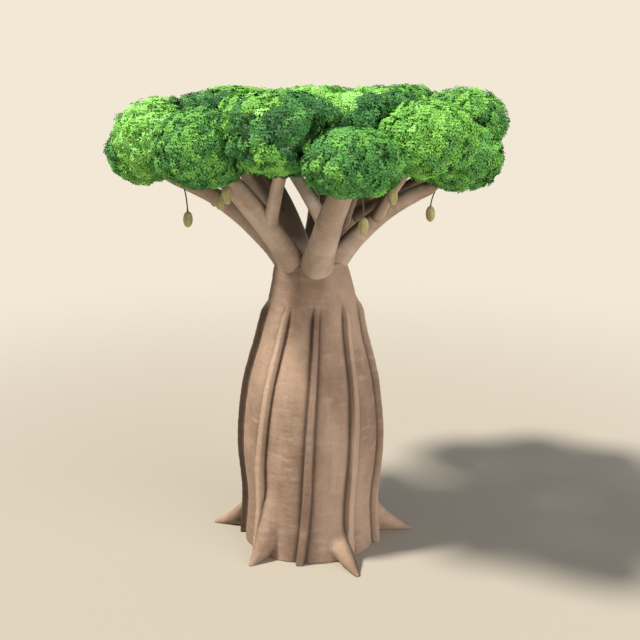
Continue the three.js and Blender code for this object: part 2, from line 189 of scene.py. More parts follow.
class NodeTree:
    def __init__(self, tree):
        self.tree = tree

    def node(self, kind, *values, output=0, **named):
        # values go to the first sockets, capital names to sockets, other names to settings
        made = self.tree.nodes.new(kind)
        for name, value in named.items():
            if name[0].isupper():
                self.plug(made.inputs[name.replace("_", " ")], value)
            else:
                setattr(made, name, value)
        for i, value in enumerate(values):
            self.plug(made.inputs[i], value)
        return Wire(self, made.outputs[output])

    def plug(self, socket, value):
        if isinstance(value, Wire):
            self.tree.links.new(value.socket, socket)
        else:
            socket.default_value = value

    def sum(self, operation, *values):
        return self.node("ShaderNodeMath", *values, operation=operation)

    def between(self, value, low, high):  # 0 below low, 1 above high
        return self.node("ShaderNodeMapRange", value, low, high, interpolation_type="SMOOTHSTEP")

    def blend(self, factor, low, high):
        return self.node("ShaderNodeMix", data_type="RGBA", Factor=factor, A=low, B=high, output="Result")

    def scaled(self, vector, factors):
        return self.node("ShaderNodeVectorMath", vector, factors, operation="MULTIPLY")

    def noise(self, vector, size, stretch, scale, detail, roughness):
        fine = {"Scale": size * scale, "Detail": detail, "Roughness": roughness}
        return self.node("ShaderNodeTexNoise", Vector=self.scaled(vector, stretch), **fine)

    def cells(self, vector, size, stretch, scale, feature):
        vector = self.scaled(vector, stretch)
        return self.node("ShaderNodeTexVoronoi", feature=feature, Vector=vector, Scale=size * scale)


class Finish(NodeTree):
    # a material, with its Principled shader's sockets set by name
    def __init__(self, name, **sockets):
        self.material = bpy.data.materials.new(name)
        self.material.use_nodes = True
        super().__init__(self.material.node_tree)
        self.shader = self.tree.nodes["Principled BSDF"]
        self.set(**sockets)

    def set(self, **sockets):
        for key, value in sockets.items():
            self.plug(self.shader.inputs[key.replace("_", " ")], value)

    def attribute(self, name, output="Vector"):
        return self.node("ShaderNodeAttribute", attribute_name=name, output=output)

    def shade(self, colour, over, pattern, low, high, strength):  # where the pattern runs from low to high
        return self.blend(self.between(pattern, low, high) * strength, colour, over)

    def bump(self, height, strength, distance):
        return self.node("ShaderNodeBump", Height=height, Strength=strength, Distance=distance)


class Maker(NodeTree):
    # a Geometry Nodes tree with named inputs
    def __init__(self, name, **inputs):
        tree = bpy.data.node_groups.new(name, "GeometryNodeTree")
        super().__init__(tree)
        for end in ("INPUT", "OUTPUT"):
            tree.interface.new_socket("Geometry", in_out=end, socket_type="NodeSocketGeometry")
        for label, value in inputs.items():
            kind = "NodeSocket" + type(value).__name__.capitalize()
            socket = tree.interface.new_socket(label, in_out="INPUT", socket_type=kind)
            socket.default_value = value
        self.entry = tree.nodes.new("NodeGroupInput")
        self.exit = tree.nodes.new("NodeGroupOutput")

    def input(self, label):
        return Wire(self, self.entry.outputs[label])

    def named(self, name, kind="FLOAT"):
        return self.node("GeometryNodeInputNamedAttribute", data_type=kind, Name=name)

    def part(self, label):  # the geometry of the object that the input of this name holds
        return self.node("GeometryNodeObjectInfo", Object=self.input(label), output="Geometry")

    def realized(self, geometry):
        return self.node("GeometryNodeRealizeInstances", Geometry=geometry)

    def finish(self, geometry):
        self.plug(self.exit.inputs["Geometry"], geometry)
        return self

    def finishClad(self, geometry, label):  # in the material that the input of this name holds
        clad = self.node("GeometryNodeSetMaterial", Geometry=geometry, Material=self.input(label))
        return self.finish(clad)


def grow(obj, maker, **values):  # runs a maker on an object and leaves a plain mesh
    modifier = obj.modifiers.new(maker.tree.name, "NODES")
    modifier.node_group = maker.tree
    for item in maker.tree.interface.items_tree:
        if item.in_out == "INPUT" and item.name in values:
            modifier[item.identifier] = values[item.name]
    evaluated = obj.evaluated_get(bpy.context.evaluated_depsgraph_get())
    plain = bpy.data.meshes.new_from_object(evaluated)
    obj.modifiers.remove(modifier)
    obj.data = plain
    plain.name = obj.name


def place(obj, slot, *nodes):  # the piece's body, the record's slot (not used) and the CAD nodes it stands for
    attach(obj, "root")
    if nodes:
        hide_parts(*nodes)
    obj.data.calc_loop_triangles()
    print(f"{obj.name}: {len(obj.data.loop_triangles)} triangles")


# ---- camera, floor and light ----

stage = Settings(
    lens=50.0,
    cameraOut=1.8359,  # times the tree's height
    cameraUp=1.0358,
    lookDown=16.23,
    lookAside=-0.625,
    skyColour=linear("f2e8d5"),
    skyLight=linear("f4f6ff"),
    skyStrength=0.37,
    floorColour=linear("a39c8f"),
    floorFade=(7.0, 26.0),
    floorReach=90.0,
    floorSides=72,
    floorDrop=0.002,  # below the ground, so that the cut under the trunk never lies in it
    # colour, strength, bearing, height and width in degrees
    sun=((1.0, 0.95, 0.87), 5.6, -167.0, 56.0, 8.0),
    fill=((1.0, 0.98, 0.96), 3.7, -42.0, 3.0, 70.0),
)


def addCamera():
    camera = bpy.data.cameras.new("camera")
    camera.lens = stage.lens
    made = inScene("camera", camera)
    made.location = (0, -stage.cameraOut * treeHeight, stage.cameraUp * treeHeight)
    made.rotation_euler = (math.radians(90 - stage.lookDown), 0, math.radians(stage.lookAside))
    bpy.context.scene.camera = made


def addSky():  # the light on the tree is a plain soft white, behind the backdrop's own colour
    world = bpy.data.worlds.new("sky")
    world.use_nodes = True
    sky = NodeTree(world.node_tree)
    soft = sky.node("ShaderNodeBackground", Color=stage.skyLight, Strength=stage.skyStrength)
    backdrop = sky.node("ShaderNodeBackground", Color=stage.skyColour)
    seen = sky.node("ShaderNodeLightPath", output="Is Camera Ray")
    shown = sky.node("ShaderNodeMixShader", seen, soft, backdrop)
    sky.plug(world.node_tree.nodes["World Output"].inputs["Surface"], shown)
    bpy.context.scene.world = world
    bpy.context.scene.view_settings.view_transform = "Standard"


def addLamp(name, colour, strength, bearing, height, width):
    lamp = bpy.data.lights.new(name, "SUN")
    lamp.color, lamp.energy, lamp.angle = colour, strength, math.radians(width)
    lift = math.radians(height)
    towards = Vector(polar(bearing, math.cos(lift), math.sin(lift)))
    made = inScene(name, lamp)
    made.rotation_mode = "QUATERNION"
    made.rotation_quaternion = towards.to_track_quat("Z", "Y")


def addFloor():
    sides = stage.floorSides
    turns = np.linspace(0, 360, sides, endpoint=False)
    rim = [polar(turn, stage.floorReach, -stage.floorDrop) for turn in turns]
    floor = meshObject("floor", rim, [range(sides)])
    finish = Finish("floor", Base_Color=stage.floorColour, Roughness=0.95)
    spot = finish.node("ShaderNodeTexCoord", output="Object")
    distance = finish.node("ShaderNodeVectorMath", spot, operation="LENGTH", output="Value")
    glow = finish.node("ShaderNodeEmission", Color=stage.skyColour)
    shader = Wire(finish, finish.shader.outputs[0])
    fade = finish.between(distance, *stage.floorFade)
    surface = finish.node("ShaderNodeMixShader", fade, shader, glow)
    finish.plug(finish.tree.nodes["Material Output"].inputs["Surface"], surface)
    floor.data.materials.append(finish.material)


addCamera()
addSky()
addLamp("sun", *stage.sun)
addLamp("fill", *stage.fill)
addFloor()


# ---- bark ----

barkLook = {
    # a pattern's stretch along the grain, scale, detail and roughness
    "patches": ((1, 1, 0.5), 0.9, 4, 0.6),
    "bands": ((1, 1, 3.2), 1.7, 5, 0.7),
    "streaks": ((7, 7, 0.5), 1.1, 4, 0.6),
    "specks": ((1, 1, 1), 34.0, 3, 0.7),
    "fine": ((1, 1, 3), 26.0, 5, 0.65),
    "layers": [  # what each follows, from and to which value it shows, how strongly, and its colour
        ("patches", 0.34, 0.66, 1.0, "tan"),
        ("bands", 0.48, 0.78, 0.45, "pale"),
        ("streaks", 0.52, 0.76, 0.4, "brown"),
        ("specks", 0.55, 0.75, 0.3, "crease"),
        # painted shade: darker in the relief's hollows
        ("relief", -0.3, -1.5, 0.45, "crease"),
        # painted light: paler on pale-toned ribs and on the boughs' outer sides
        ("crest", 0.2, 0.9, 0.4, "pale"),
        # painted shade: darker beside the ribs, on dark-toned ribs, on the neck and on the boughs' inner
        # sides
        ("crest", -0.15, -1.3, 0.95, "crease"),
    ],
    "cracks": ((1, 1, 2.2), 9.0, 0.09, 0.35),  # stretch, scale, width, and depth beside the fine grain
    "bump": (0.55, 0.02),
    "rough": (0.94, 0.4, 0.7, 0.14),  # and from and to which patches it is how much less
}


def barkFinish(name, size, **colours):
    finish = Finish(name, Specular_IOR_Level=0.25)
    grain = finish.attribute("grain")
    follow = {label: finish.attribute(label, "Fac") for label in ("relief", "crest")}
    for label in ("patches", "bands", "streaks"):
        follow[label] = finish.noise(grain, size, *barkLook[label])
    for label in ("specks", "fine"):  # as small on every bark
        follow[label] = finish.noise(grain, 1, *barkLook[label])
    colour = linear(colours["brown"])
    for label, low, high, strength, over in barkLook["layers"]:
        colour = finish.shade(colour, linear(colours[over]), follow[label], low, high, strength)

    stretch, scale, width, depth = barkLook["cracks"]
    cracks = finish.cells(grain, size, stretch, scale, "DISTANCE_TO_EDGE")
    height = follow["fine"] + finish.between(cracks, 0, width) * depth
    rough, low, high, less = barkLook["rough"]
    roughness = rough - finish.between(follow["patches"], low, high) * less
    finish.set(Base_Color=colour, Normal=finish.bump(height, *barkLook["bump"]), Roughness=roughness)
    return finish.material


# pale serves the pale bands and the painted light, crease the dark specks and the painted shade
trunkBark = barkFinish("trunk_bark", 1.0, pale="bfa791", tan="a78d78", brown="876f5d", crease="47382e")
# paler than the trunk's bark: partly its own tone, partly painted light against the crown's shade on the
# boughs
boughBark = barkFinish("bough_bark", 1.8, pale="d5c3b2", tan="bca592", brown="a38b78", crease="5a493c")
stalkBark = barkFinish("stalk_bark", 3.0, pale="8a7766", tan="75624f", brown="635141", crease="43362b")

reliefLook = Settings(
    # stretch along the grain, scale, detail and roughness
    folds=((1, 1, 0.4), 1.6, 2, 0.45),
    wrinkles=((1, 1, 4.5), 2.3, 3, 0.55),
    pocks=((1, 1, 1.7), 2.6),
    pit=(0.06, 0.24),  # from a pock's middle to its edge
    depthShares=(0.4, 0.6),  # of folds and wrinkles, in the depth that the colours go by
    # how deep each is in metres, on the trunk and on a bough
    trunk={"Fold": 0.026, "Wrinkle": 0.013, "Pock": 0.006},
    bough={"Fold": 0.022, "Wrinkle": 0.010, "Pock": 0.004},
    boughScale=2.0,  # times the trunk's
)


def barkRelief():  # moves a surface in and out: folds, wrinkles across the grain, and pocks
    maker = Maker("bark_relief", **reliefLook.trunk, Scale=1.0, Bark=trunkBark)
    fold, wrinkle, size = maker.input("Fold"), maker.input("Wrinkle"), maker.input("Scale")
    grain = maker.named("grain", "FLOAT_VECTOR")
    folds = maker.noise(grain, size, *reliefLook.folds) - 0.5
    wrinkles = maker.noise(grain, size, *reliefLook.wrinkles) - 0.5
    pocks = maker.cells(grain, size, *reliefLook.pocks, "F1")
    pits = 1 - maker.between(pocks, *reliefLook.pit)
    height = folds * 2 * fold + wrinkles * 2 * wrinkle - pits * maker.input("Pock")
    foldShare, wrinkleShare = reliefLook.depthShares
    relief = maker.sum("DIVIDE", height, fold * foldShare + wrinkle * wrinkleShare)

    skin = maker.input("Geometry")
    stored = maker.node("GeometryNodeStoreNamedAttribute", Geometry=skin, Name="relief", Value=relief)
    normal = maker.node("GeometryNodeInputNormal")
    offset = maker.node("ShaderNodeVectorMath", normal, operation="SCALE", Scale=height)
    moved = maker.node("GeometryNodeSetPosition", Geometry=stored, Offset=offset)
    return maker.finishClad(moved, "Bark")


relief = barkRelief()


# ---- trunk ----

trunk = Settings(
    # height, radius, and how far the axis leans towards +X
    profile=[
        (-0.06, 1.500, 0.0),
        (1.00, 1.425, 0.0),
        (2.35, 1.505, 0.0),
        (3.60, 1.385, 0.0),
        (4.90, 1.060, 0.020),
        (5.70, 0.885, 0.045),
        (6.30, 0.745, 0.010),
    ],
    headTop=6.43,
    fineRows=(0.4, 90, 260),  # up to which height the first rows are closer, and how many below and above
    rows=226,
    headRows=8,
    rowBlend=5,
    ribs=9,
    columnsOnRib=18,
    columnsBetween=28,
    spacingSteps=400,
    firstBearing=-92.0,  # at half their height
    twist=15.0,
    proud=0.130,
    ribWidth=0.084,
    ribReach=0.125,
    ribEdge=10,  # the higher, the squarer a rib's edges
    slimming=0.4,  # how much narrower ribs are at their upper ends
    ribTones=[-0.55, 0.7, 0.4, -0.3, 0.5, -0.4, 0.6, -1.35, 1.0],  # each rib's painted light and shade, from brown to pale
    swellBetween=0.02,
    creaseColumns=3,  # that the shade beside a rib fades over
    neckDamp=(5.3, 6.2, 0.50),  # painted shade under the crown: from and to which height the bark darkens, and how much
    fade=(5.25, 5.65),
    wander=1.6,
    sways=[(1.5, 2.1, 1.0), (0.61, 1.3, 0.4)],  # length, shift from rib to rib, share
)
roots = Settings(
    # bearing, and the height at which it leaves the trunk
    flares=[(0, 0.70), (54, 0.62), (112, 0.90), (171, 0.70), (-130, 1.35), (-64, 0.56)],
    startOut=1.08,
    bendOut=1.62,
    bendUp=0.19,
    tipOut=2.13,
    tipSpread=0.06,
    tipTurn=2.3,
    points=9,
    startRadius=0.34,
    tipRadius=0.06,
    crowding=2.4,  # how much closer the columns are where a flare leaves
    crowdingWidth=7,  # degrees
)
joins = Settings(
    # how softly it runs into the trunk, degrees each side, heights, and how far out to start looking
    root=(0.11, 34.0, (0.0, 2.4), 2.55),
    bough=(0.30, 75.0, (5.2, 6.3), 1.9),
    fade=(6.0, 6.32),  # where the soft join dies out
    softest=1.05,  # times the softness, below that
    sunk=0.03,  # how far the trunk's skin stays inside a bough
    foot=slice(0, 32, 3),  # the points of a bough's line that its foot covers
    # the search for the skin: its steps, how much of the gap each one goes, and the gap that will do
    search=(70, 0.8, 0.0008),
)
profile = np.array(trunk.profile)
trunkTop = profile[-1, 0]


def alongProfile(height, column):  # a smooth curve through the profile's rows
    rows, values = profile[:, 0], profile[:, column]
    slopes = np.gradient(values, rows)
    i = np.clip(np.searchsorted(rows, height) - 1, 0, len(rows) - 2)
    span = rows[i + 1] - rows[i]
    t = (height - rows[i]) / span
    ends = (2 * t**3 - 3 * t**2 + 1) * values[i] + (3 * t**2 - 2 * t**3) * values[i + 1]
    turns = (t**3 - 2 * t**2 + t) * slopes[i] + (t**3 - t**2) * slopes[i + 1]
    return ends + turns * span


def ribBearing(k, height):
    sway = sum(share * np.sin(height / length + shift * k) for length, shift, share in trunk.sways)
    twist = trunk.twist * (height / trunk.fade[1] - 0.5)
    return trunk.firstBearing + 360 / trunk.ribs * k + twist + trunk.wander * sway


def sharesBetween(start, end):  # columns between two ribs, closer where a root flare leaves
    fine = np.linspace(0, 1, trunk.spacingSteps)
    density = np.ones(len(fine))
    for bearing, _ in roots.flares:
        apart = (mix(start, end, fine) - bearing + 180) % 360 - 180
        density += roots.crowding * np.exp(-((apart / roots.crowdingWidth) ** 2))
    run = np.cumsum(density)
    evenly = np.linspace(run[0], run[-1], trunk.columnsBetween + 2)[1:-1]
    return np.interp(evenly, run, fine)


def trunkColumns(heights):  # bearing, radius and crest of every column at every height; the crest is painted light and shade
    radius = alongProfile(heights, 1)
    ribbed = 1 - smoothStep(*trunk.fade, heights)
    slim = 1 - trunk.slimming * (heights / trunk.fade[1]) ** 2
    bearings, radii, paintedShading = [], [], []
    for k in range(trunk.ribs):
        middle = ribBearing(k, heights)
        after = ribBearing((k + 1) % trunk.ribs, heights) + (360 if k + 1 == trunk.ribs else 0)
        half = np.degrees(trunk.ribReach * slim / radius)
        for share in np.linspace(-1, 1, trunk.columnsOnRib):
            across = share * trunk.ribReach / trunk.ribWidth
            crest = math.exp(-(across ** trunk.ribEdge))
            bearings.append(middle + share * half)
            radii.append(radius + trunk.proud * crest * ribbed)
            # a rib's painted tone of light and shade, with painted shade at its foot
            paintedShading.append(mix(-1, trunk.ribTones[k], crest) * ribbed)
        for share in sharesBetween(middle[0] + half[0], after[0] - half[0]):
            bearings.append(mix(middle + half, after - half, share))
            swell = 1 + trunk.swellBetween * math.sin(math.pi * share)
            radii.append(radius * swell)
            # painted shade in the crease beside a rib
            toRib = min(share, 1 - share) * trunk.columnsBetween / trunk.creaseColumns
            paintedShading.append(-ribbed * math.exp(-toRib))
    return np.array(bearings).T, np.array(radii).T, np.array(paintedShading).T


def flareCurve(index):
    bearing, startUp = roots.flares[index]
    tipOut = roots.tipOut * (1 + roots.tipSpread * math.cos(roots.tipTurn * index))
    shares = np.linspace(0, 1, roots.points)
    start, bend = [roots.startOut, startUp], [roots.bendOut, roots.bendUp]
    line = bezier(np.array(start), np.array(bend), np.array([tipOut, 0.0]), shares)
    return bearing, line, mix(roots.startRadius, roots.tipRadius, shares)


def growthDistance(out, side, height, line, radii):  # from a tapering tube in its own upright plane
    nearest = np.full(out.shape, np.inf)
    for (a, b), (ra, rb) in zip(zip(line[:-1], line[1:]), zip(radii[:-1], radii[1:])):
        run = b - a
        t = np.clip(((out - a[0]) * run[0] + (height - a[1]) * run[1]) / (run @ run), 0, 1)
        gap = np.sqrt((out - a[0] - t * run[0]) ** 2 + (height - a[1] - t * run[1]) ** 2 + side**2)
        nearest = np.minimum(nearest, gap - mix(ra, rb, t))
    return nearest


def joined(join, bearing, line, thickness, heights, bearings, radii):
    # pushes the trunk's skin out to run softly over a root flare or the foot of a bough
    melt, within, (lowEnd, highEnd), farOut = join
    turn = np.radians((bearings - bearing + 180) % 360 - 180)
    near = (heights >= lowEnd) & (heights <= highEnd)
    rows, columns = np.nonzero((np.abs(turn) < math.radians(within)) & near[:, None])
    angle, height, body = turn[rows, columns], heights[rows], radii[rows, columns]
    melt = melt * (joins.softest - smoothStep(*joins.fade, height))
    out = np.full(len(rows), farOut)
    steps, stride, closeEnough = joins.search
    for _ in range(steps):
        toGrowth = growthDistance(out * np.cos(angle), out * np.sin(angle), height, line, thickness)
        toBody = out - body
        share = np.clip(0.5 + 0.5 * (toBody - toGrowth) / melt, 0, 1)
        gap = mix(toBody, toGrowth, share) - melt * share * (1 - share)
        out = np.where(gap > closeEnough, out - gap * stride, out)
    grown = radii.copy()
    grown[rows, columns] = np.maximum(body, out)
    return grown


def withGrowths(heights, bearings, radii):
    skins = [radii]
    for index in range(len(roots.flares)):
        skins.append(joined(joins.root, *flareCurve(index), heights, bearings, radii))
    for limb in limbNamed.values():
        if not limb.parent:
            foot, thickness = limb.line[joins.foot], limb.radii[joins.foot] - joins.sunk
            line = np.column_stack([np.hypot(foot[:, 0], foot[:, 1]), foot[:, 2]])
            bearing = masses[limb.name][0]
            skins.append(joined(joins.bough, bearing, line, thickness, heights, bearings, radii))
    return np.max(skins, axis=0)


def evenRows(heights, radii, rows):  # heights that space each column's points evenly along its line
    spaced = np.empty((rows, radii.shape[1]))
    for j in range(radii.shape[1]):
        steps = np.hypot(np.diff(heights), np.diff(radii[:, j]))
        run = np.concatenate([[0], np.cumsum(steps)])
        spaced[:, j] = np.interp(np.linspace(0, run[-1], rows), run, heights)
    shifts = range(-trunk.rowBlend, trunk.rowBlend + 1)  # neighbouring columns keep in step
    return np.mean([np.roll(spaced, shift, axis=1) for shift in shifts], axis=0)


def trunkSurface():
    fineTop, below, above = trunk.fineRows
    heights = np.concatenate([np.linspace(0, fineTop, below)[:-1], np.linspace(fineTop, trunkTop, above)])
    bearings, radii, paintedShading = trunkColumns(heights)
    radii = withGrowths(heights, bearings, radii)
    height = evenRows(heights, radii, trunk.rows)
    across = range(height.shape[1])
    bearing, radius, crest = [
        np.column_stack([np.interp(height[:, j], heights, values[:, j]) for j in across])
        for values in (bearings, radii, paintedShading)
    ]
    lean = alongProfile(height, 2)
    angle = np.radians(bearing)
    body = np.stack([radius * np.cos(angle) + lean, radius * np.sin(angle), height], axis=-1)
    domes = []
    for turn in np.linspace(0, math.pi / 2, trunk.headRows + 2)[1:-1]:
        ring = body[-1] * [math.cos(turn), math.cos(turn), 1]
        ring[:, 2] += (trunk.headTop - trunkTop) * math.sin(turn)
        domes.append(ring)
    crest = np.concatenate([crest, np.zeros((trunk.headRows, crest.shape[1]))])
    # painted shade on the neck under the crown
    shadeFrom, shadeTo, dark = trunk.neckDamp
    crest[: len(height)] -= dark * smoothStep(shadeFrom, shadeTo, height)
    return np.concatenate([body, np.array(domes)]), crest


# ---- foliage spaces and limbs, by the same rule as the solids ----

masses = {  # bearing, distance out and height of the middle, half width, half height, tone
    "left": (178, 3.00, 8.88, 1.21, 0.98, "bright"),
    "far_left": (163, 3.78, 8.51, 0.96, 0.90, "mid"),
    "front_left": (-134, 2.78, 8.84, 1.14, 0.90, "mid"),
    "front": (-101, 2.50, 9.13, 1.38, 0.91, "dark"),
    "front_right": (-77, 3.15, 8.70, 1.16, 0.75, "mid"),
    "right_front": (-42, 2.88, 8.98, 1.15, 0.88, "bright"),
    "right": (-10, 2.97, 8.55, 1.11, 0.85, "dark"),
    "right_top": (10, 3.23, 9.15, 1.15, 0.85, "bright"),
    "back_right": (43, 2.88, 9.05, 1.36, 1.00, "mid"),
    "back": (82, 2.82, 8.98, 1.40, 1.00, "bright"),
    "back_left": (125, 2.92, 9.00, 1.55, 1.00, "bright"),
    "inner_left": (172, 1.85, 9.19, 1.48, 0.72, "dark"),
    "inner_front": (-133, 1.15, 9.23, 1.33, 0.77, "bright"),
    "inner_right": (-56, 1.42, 9.23, 1.25, 0.74, "dark"),
    "inner_far": (12, 1.50, 9.26, 1.40, 0.74, "mid"),
    "inner_back": (92, 1.13, 9.27, 1.35, 0.74, "bright"),
}
limbs = {
    # each leads to the mass of its name: the limb it leaves and at which share of that one's line,
    # its radii at both ends, how high it bends, and from the side (0) or from under (1) its mass
    "front_right": (None, 0, 0.350, 0.215, 0.20, 0),
    "front_left": (None, 0, 0.275, 0.205, 0.23, 0),
    "left": (None, 0, 0.255, 0.150, 0.52, 0.42),
    "right": (None, 0, 0.255, 0.150, 0.50, 0.12),
    "back_right": (None, 0, 0.310, 0.200, 0.25, 0.2),
    "back": (None, 0, 0.290, 0.170, 0.30, 0.2),
    "back_left": (None, 0, 0.370, 0.260, 0.60, 0),
    "far_left": ("left", 0.6, 0.130, 0.095, 0.06, 0.2),
    "front": ("front_left", 0.55, 0.140, 0.125, 0.06, 0.3),
    "right_front": ("right", 0.6, 0.130, 0.095, 0.10, 0),
    "right_top": ("back_right", 0.46, 0.180, 0.140, -0.05, 0.75),
    "inner_left": ("back_left", 0.26, 0.210, 0.175, 0, 0.2),
    "inner_right": ("front_right", 0.44, 0.130, 0.095, 0.06, 0.2),
    "inner_far": ("back_right", 0.32, 0.130, 0.095, 0.06, 0.2),
    "inner_back": ("back", 0.42, 0.130, 0.095, 0.06, 0.2),
    "inner_front": ("front_right", 0.56, 0.140, 0.110, 0.06, 0.2),
}
growth = Settings(
    massGap=0.014,
    wallShare=0.15,  # how much of a margin counts at a wall between two masses
    openShare=0.8,  # of its own reach, from which a mass counts as open
    limbGap=0.03,
    limbPoints=90,
    stemPoints=12,
    curveSteps=200,
    testEvery=3,  # points of a limb's line, when distances to it are found
    stemShare=0.55,
    stemTaper=0.55,
    startOut=0.33,
    startUp=6.08,
    flankShare=0.5,
    bendShare=0.44,
    tipShare=0.96,
    taper=0.8,
)


class Mass:
    def __init__(self, name):
        bearing, out, height, self.wide, self.tall, self.tone = masses[name]
        self.name, self.heart = name, polar(bearing, out, height)

    def ellipsoid(self, directions):
        flat = np.hypot(directions[..., 0], directions[..., 1]) / self.wide
        return 1 / np.hypot(flat, directions[..., 2] / self.tall)

    def setWalls(self, others):  # a plane keeps each mass to its own side of a neighbour
        self.walls = []
        for other in others:
            apart = other.heart - self.heart
            distance = np.linalg.norm(apart)
            normal = apart / distance
            own, theirs = self.ellipsoid(normal), other.ellipsoid(normal)
            if own + theirs > distance:
                self.walls.append((normal, distance * own / (own + theirs) - growth.massGap))

    def reach(self, directions, margin=0.0):
        nearest = self.ellipsoid(directions) - margin
        for normal, distance in self.walls:
            facing = directions @ normal
            inside = distance - growth.wallShare * margin
            wall = np.where(facing > tiny, inside / np.maximum(facing, tiny), np.inf)
            nearest = np.minimum(nearest, wall)
        return nearest

    def points(self, directions, share, margin=0.0):
        return self.heart + directions * (share * self.reach(directions, margin))[..., None]


class Limb:
    def __init__(self, name):
        self.name = name
        self.parent, at, self.base, self.tip, lift, under = limbs[name]
        mass = crown[name]
        if self.parent:
            start = self.onFlank(limbNamed[self.parent], at, mass)
        else:
            start = polar(masses[name][0], growth.startOut, growth.startUp)
        entry = unit(mix(unit(start - mass.heart), -up, under))
        end = mass.points(entry, growth.tipShare)
        bend = mix(start, end, growth.bendShare) + up * lift
        self.line = evenLine(start, bend, end, growth.limbPoints)
        self.radii = self.radiusAt(np.linspace(0, 1, growth.limbPoints))
        self.stem = self.stemLine(mass, end, unit(end - self.line[-2]))

    def radiusAt(self, share):
        return mix(self.base, self.tip, share ** growth.taper)

    def onFlank(self, parent, at, mass):  # inside the parent, off its axis towards the mass
        i = round(at * (growth.limbPoints - 1))
        start, heading = parent.line[i], unit(parent.line[i + 1] - parent.line[i - 1])
        sideways = mass.heart - start
        sideways = unit(sideways - heading * (sideways @ heading))
        return start + sideways * growth.flankShare * parent.radiusAt(at)

    def stemLine(self, mass, start, heading):
        end = mix(mass.heart, start, 1 - growth.stemShare)
        bend = start + heading * np.linalg.norm(end - start) / 2
        return evenLine(start, bend, end, growth.stemPoints)

    def distance(self, points):  # to the limb's surface
        tested = slice(None, None, growth.testEvery)
        beads = zip(self.line[tested], self.radii[tested])
        return np.min([np.linalg.norm(points - centre, axis=-1) - radius for centre, radius in beads], axis=0)


def evenLine(start, bend, end, count):
    line = bezier(start, bend, end, np.linspace(0, 1, growth.curveSteps))
    run = np.concatenate([[0], np.cumsum(np.linalg.norm(np.diff(line, axis=0), axis=1))])
    return resampled(line, run, np.linspace(0, run[-1], count))


crown = {name: Mass(name) for name in masses}
for mass in crown.values():
    mass.setWalls([other for other in crown.values() if other is not mass])
limbNamed = {}
for name in limbs:
    limbNamed[name] = Limb(name)


def limbDistance(points):
    return np.min([limb.distance(points) for limb in limbNamed.values()], axis=0)


def trunkDistance(points):  # above the head and beside the body
    height = np.clip(points[..., 2], 0, trunkTop)
    beside = np.hypot(points[..., 0] - alongProfile(height, 2), points[..., 1]) - alongProfile(height, 1)
    above = points[..., 2] - trunk.headTop
    return np.hypot(np.maximum(beside, 0), np.maximum(above, 0)) + np.minimum(np.maximum(beside, above), 0)


# ---- trunk and limb meshes ----

bark = Settings(
    collar=0.03,  # how far wood swells where limbs part
    collarReach=0.15,
    # how far apart its rings are, its sides, and its shares of the collar and of the relief's depth
    bough=(0.032, 44, 1.0, 1.0),
    limb=(0.036, 28, 0.5, 0.6),
    # painted shade on the side that faces the crown's middle: from and to which inward share of its normal,
    # how dark, and the heights over which that starts
    damp=(-0.2, 0.8, 1.2),
    dampRise=(6.3, 6.9),
    sunned=(0.3, 0.95),  # painted light: the outer side is paler
    grainShift=5.0,  # from limb to limb
    footCut=0.004,  # what is this low lies on the cut
)


def addTrunk():
    rings, crest = trunkSurface()
    count, sides = rings.shape[:2]
    ends = [[0, 0, 0], [rings[-1, :, 0].mean(), rings[-1, :, 1].mean(), trunk.headTop]]
    points = np.concatenate([rings.reshape(-1, 3), ends])
    made = meshObject("trunk_bark", points, ringFaces(count, sides))
    setAttribute(made, "grain", points)
    setAttribute(made, "crest", np.concatenate([crest.ravel(), [0, 0]]))
    grow(made, relief)
    flattenFoot(made)
    shadeSmooth(made)
    place(made, "bark_trunk", "trunk")


def flattenFoot(obj):  # the cut at the ground stays flat
    points = pointsOf(obj)
    points[points[:, 2] < bark.footCut, 2] = 0.0
    obj.data.vertices.foreach_set("co", points.ravel())


def tubeRings(line, radii, sides):
    headings = unit(np.gradient(line, axis=0))
    side = unit(np.cross(headings[0], up))
    turns = np.linspace(0, 2 * math.pi, sides, endpoint=False)
    rings, grains, run = [], [], 0.0
    for i, (centre, heading, radius) in enumerate(zip(line, headings, radii)):
        side = unit(side - heading * (side @ heading))
        across = np.cross(heading, side)
        run += np.linalg.norm(centre - line[i - 1]) if i else 0.0
        spokes = np.outer(np.cos(turns), side) + np.outer(np.sin(turns), across)
        rings.append(centre + radius * spokes)
        grains.append(np.column_stack([radius * np.cos(turns), radius * np.sin(turns), np.full(sides, run)]))
    return np.array(rings), np.array(grains)


def limbWeather(rings, outwards):  # painted light above 0, painted shade below
    facing = (outwards * unit(-rings * [1, 1, 0])).sum(axis=-1)
    shadeFrom, shadeTo, dark = bark.damp
    lightAndShade = smoothStep(*bark.sunned, -facing) - dark * smoothStep(shadeFrom, shadeTo, facing)
    return lightAndShade * smoothStep(*bark.dampRise, rings[..., 2])


